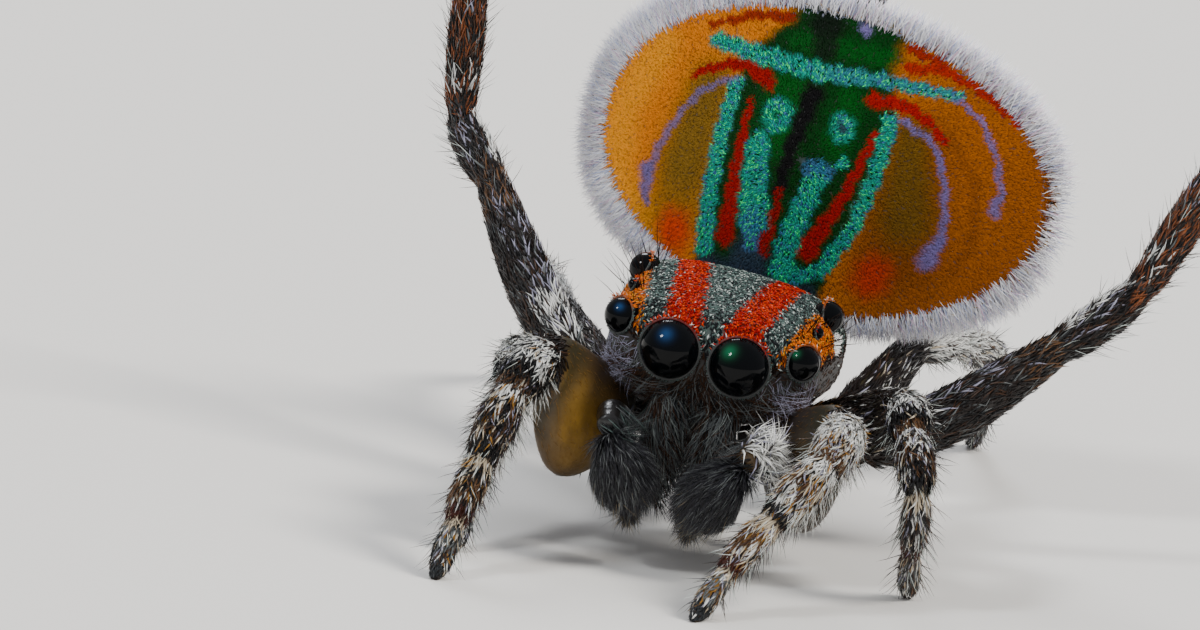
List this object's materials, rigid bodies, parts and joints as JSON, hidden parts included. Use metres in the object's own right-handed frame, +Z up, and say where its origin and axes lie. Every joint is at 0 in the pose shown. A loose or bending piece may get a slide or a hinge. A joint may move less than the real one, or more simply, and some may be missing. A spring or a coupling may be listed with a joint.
{
  "type": "peacock spider",
  "caption": "Male peacock spider in display: fringed fan raised, third legs held up, standing on its other feet.",
  "frame": {"origin": "on the floor under the middle of the spider's bounding box", "axes": "+Z up, the spider faces -Y, its left side is at +X"},
  "size_m": [0.0062, 0.0072, 0.0053],
  "materials": {
    "carapace": "scaly, banded red-orange and grey",
    "cuticle": "dark, thinly haired",
    "eye": "polished, nearly black",
    "palp": "dark grey brush of hair",
    "abdomen": "scaly and haired, with iridescent bands",
    "fan": "scaly, orange with blue-green and red bands, pale fringe",
    "leg": "haired, banded pale and dark",
    "dark_leg": "haired, dark brown to black"
  },
  "bodies": {
    "root": {"carapace": "carapace", "sternum": "cuticle", "mouthparts": "cuticle", "eye_front_median_left": "eye", "eye_front_lateral_left": "eye", "eye_rear_median_left": "eye", "eye_rear_lateral_left": "eye", "eye_front_median_right": "eye", "eye_front_lateral_right": "eye", "eye_rear_median_right": "eye", "eye_rear_lateral_right": "eye", "chelicera_left": "cuticle", "palp_arm_left": "palp", "palp_tip_left": "palp", "chelicera_right": "cuticle", "palp_arm_right": "palp", "palp_tip_right": "palp", "pedicel": "abdomen", "abdomen": "abdomen", "fan_flap_left": "fan", "fan_flap_right": "fan", "spinnerets": "abdomen", "leg_1_left_femur": "leg", "leg_1_left_tibia": "leg", "leg_1_left_foot": "leg", "leg_1_right_femur": "leg", "leg_1_right_tibia": "leg", "leg_1_right_foot": "leg", "leg_2_left_femur": "leg", "leg_2_left_tibia": "leg", "leg_2_left_foot": "leg", "leg_2_right_femur": "leg", "leg_2_right_tibia": "leg", "leg_2_right_foot": "leg", "leg_3_left_femur": "dark_leg", "leg_3_left_tibia": "dark_leg", "leg_3_left_foot": "dark_leg", "leg_3_right_femur": "dark_leg", "leg_3_right_tibia": "dark_leg", "leg_3_right_foot": "dark_leg", "leg_4_left_femur": "leg", "leg_4_left_tibia": "leg", "leg_4_left_foot": "leg", "leg_4_right_femur": "leg", "leg_4_right_tibia": "leg", "leg_4_right_foot": "leg"}
  },
  "joints": []
}
